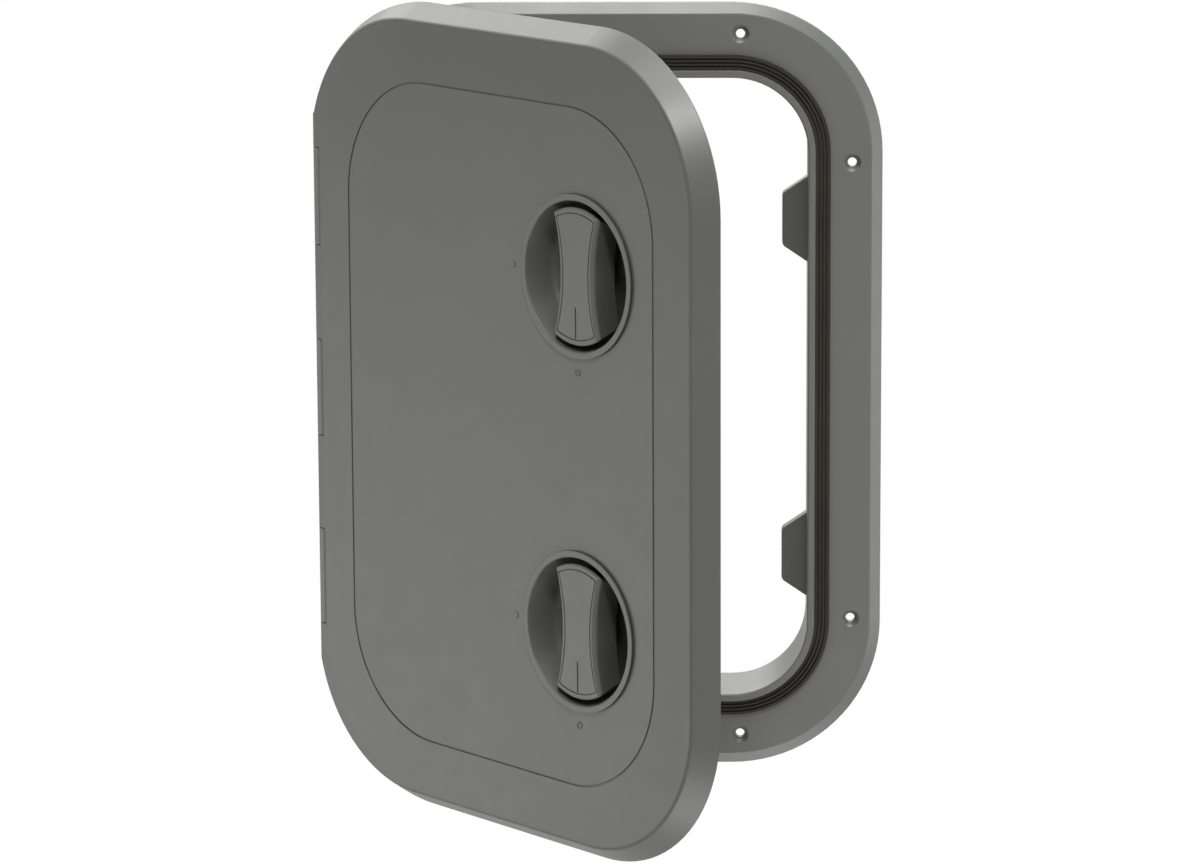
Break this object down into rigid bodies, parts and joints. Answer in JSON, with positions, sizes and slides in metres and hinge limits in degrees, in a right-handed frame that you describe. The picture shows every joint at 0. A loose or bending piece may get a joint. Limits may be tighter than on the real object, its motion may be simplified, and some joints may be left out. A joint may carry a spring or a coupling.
{
  "type": "deck hatch",
  "caption": "Rectangular access hatch with rounded corners: bevelled lid on a pinned side hinge, recessed quarter-turn latches, and a sealed flange and collar for a deck or bulkhead cut-out.",
  "frame": {"origin": "middle of the frame's back face, which is the plane of the deck or bulkhead and the centre of the end screws' rectangle", "axes": "+Y into the deck or bulkhead along the collar, +Z along the hinge, +X from the hinge towards the latches; the lid rests open at 47.3 degrees, as in the picture"},
  "size_m": [0.2633, 0.2324, 0.375],
  "materials": {
    "frame_plastic": "satin",
    "lid_plastic": "satin",
    "handle_plastic": "satin",
    "cup_plastic": "satin",
    "strike_plastic": "matte",
    "black_nylon": "matte",
    "washer_plastic": "satin",
    "seal_rubber": "matte",
    "gasket_rubber": "matte",
    "pin_steel": "drawn",
    "screw_steel": "satin"
  },
  "bodies": {
    "base": {"frame": "frame_plastic", "frame_seal": "seal_rubber", "hinge_pin": "pin_steel", "upper_strike": "strike_plastic", "lower_strike": "strike_plastic"},
    "lid": {"lid": "lid_plastic", "upper_latch_cup": "cup_plastic", "upper_cup_gasket": "gasket_rubber", "upper_cup_nut": "black_nylon", "lower_latch_cup": "cup_plastic", "lower_cup_gasket": "gasket_rubber", "lower_cup_nut": "black_nylon"},
    "upper_latch": {"upper_handle": "handle_plastic", "upper_spindle_seal": "gasket_rubber", "upper_thrust_washer": "washer_plastic", "upper_cam": "black_nylon", "upper_cam_screw": "screw_steel"},
    "lower_latch": {"lower_handle": "handle_plastic", "lower_spindle_seal": "gasket_rubber", "lower_thrust_washer": "washer_plastic", "lower_cam": "black_nylon", "lower_cam_screw": "screw_steel"}
  },
  "joints": [
    {"name": "lid_hinge", "type": "hinge", "parent": "base", "child": "lid", "pos_m": [-0.1296, -0.0069, 0.0018], "axis": [0, 0, -1], "range_deg": [-47.3, 132.7]},
    {"name": "upper_latch_turn", "type": "hinge", "parent": "lid", "child": "upper_latch", "pos_m": [-0.00918, -0.14683, 0.0782], "axis": [0.7349, 0.6782, 0], "range_deg": [0, 90]},
    {"name": "lower_latch_turn", "type": "hinge", "parent": "lid", "child": "lower_latch", "pos_m": [-0.00918, -0.14683, -0.0818], "axis": [0.7349, 0.6782, 0], "range_deg": [0, 90]}
  ]
}
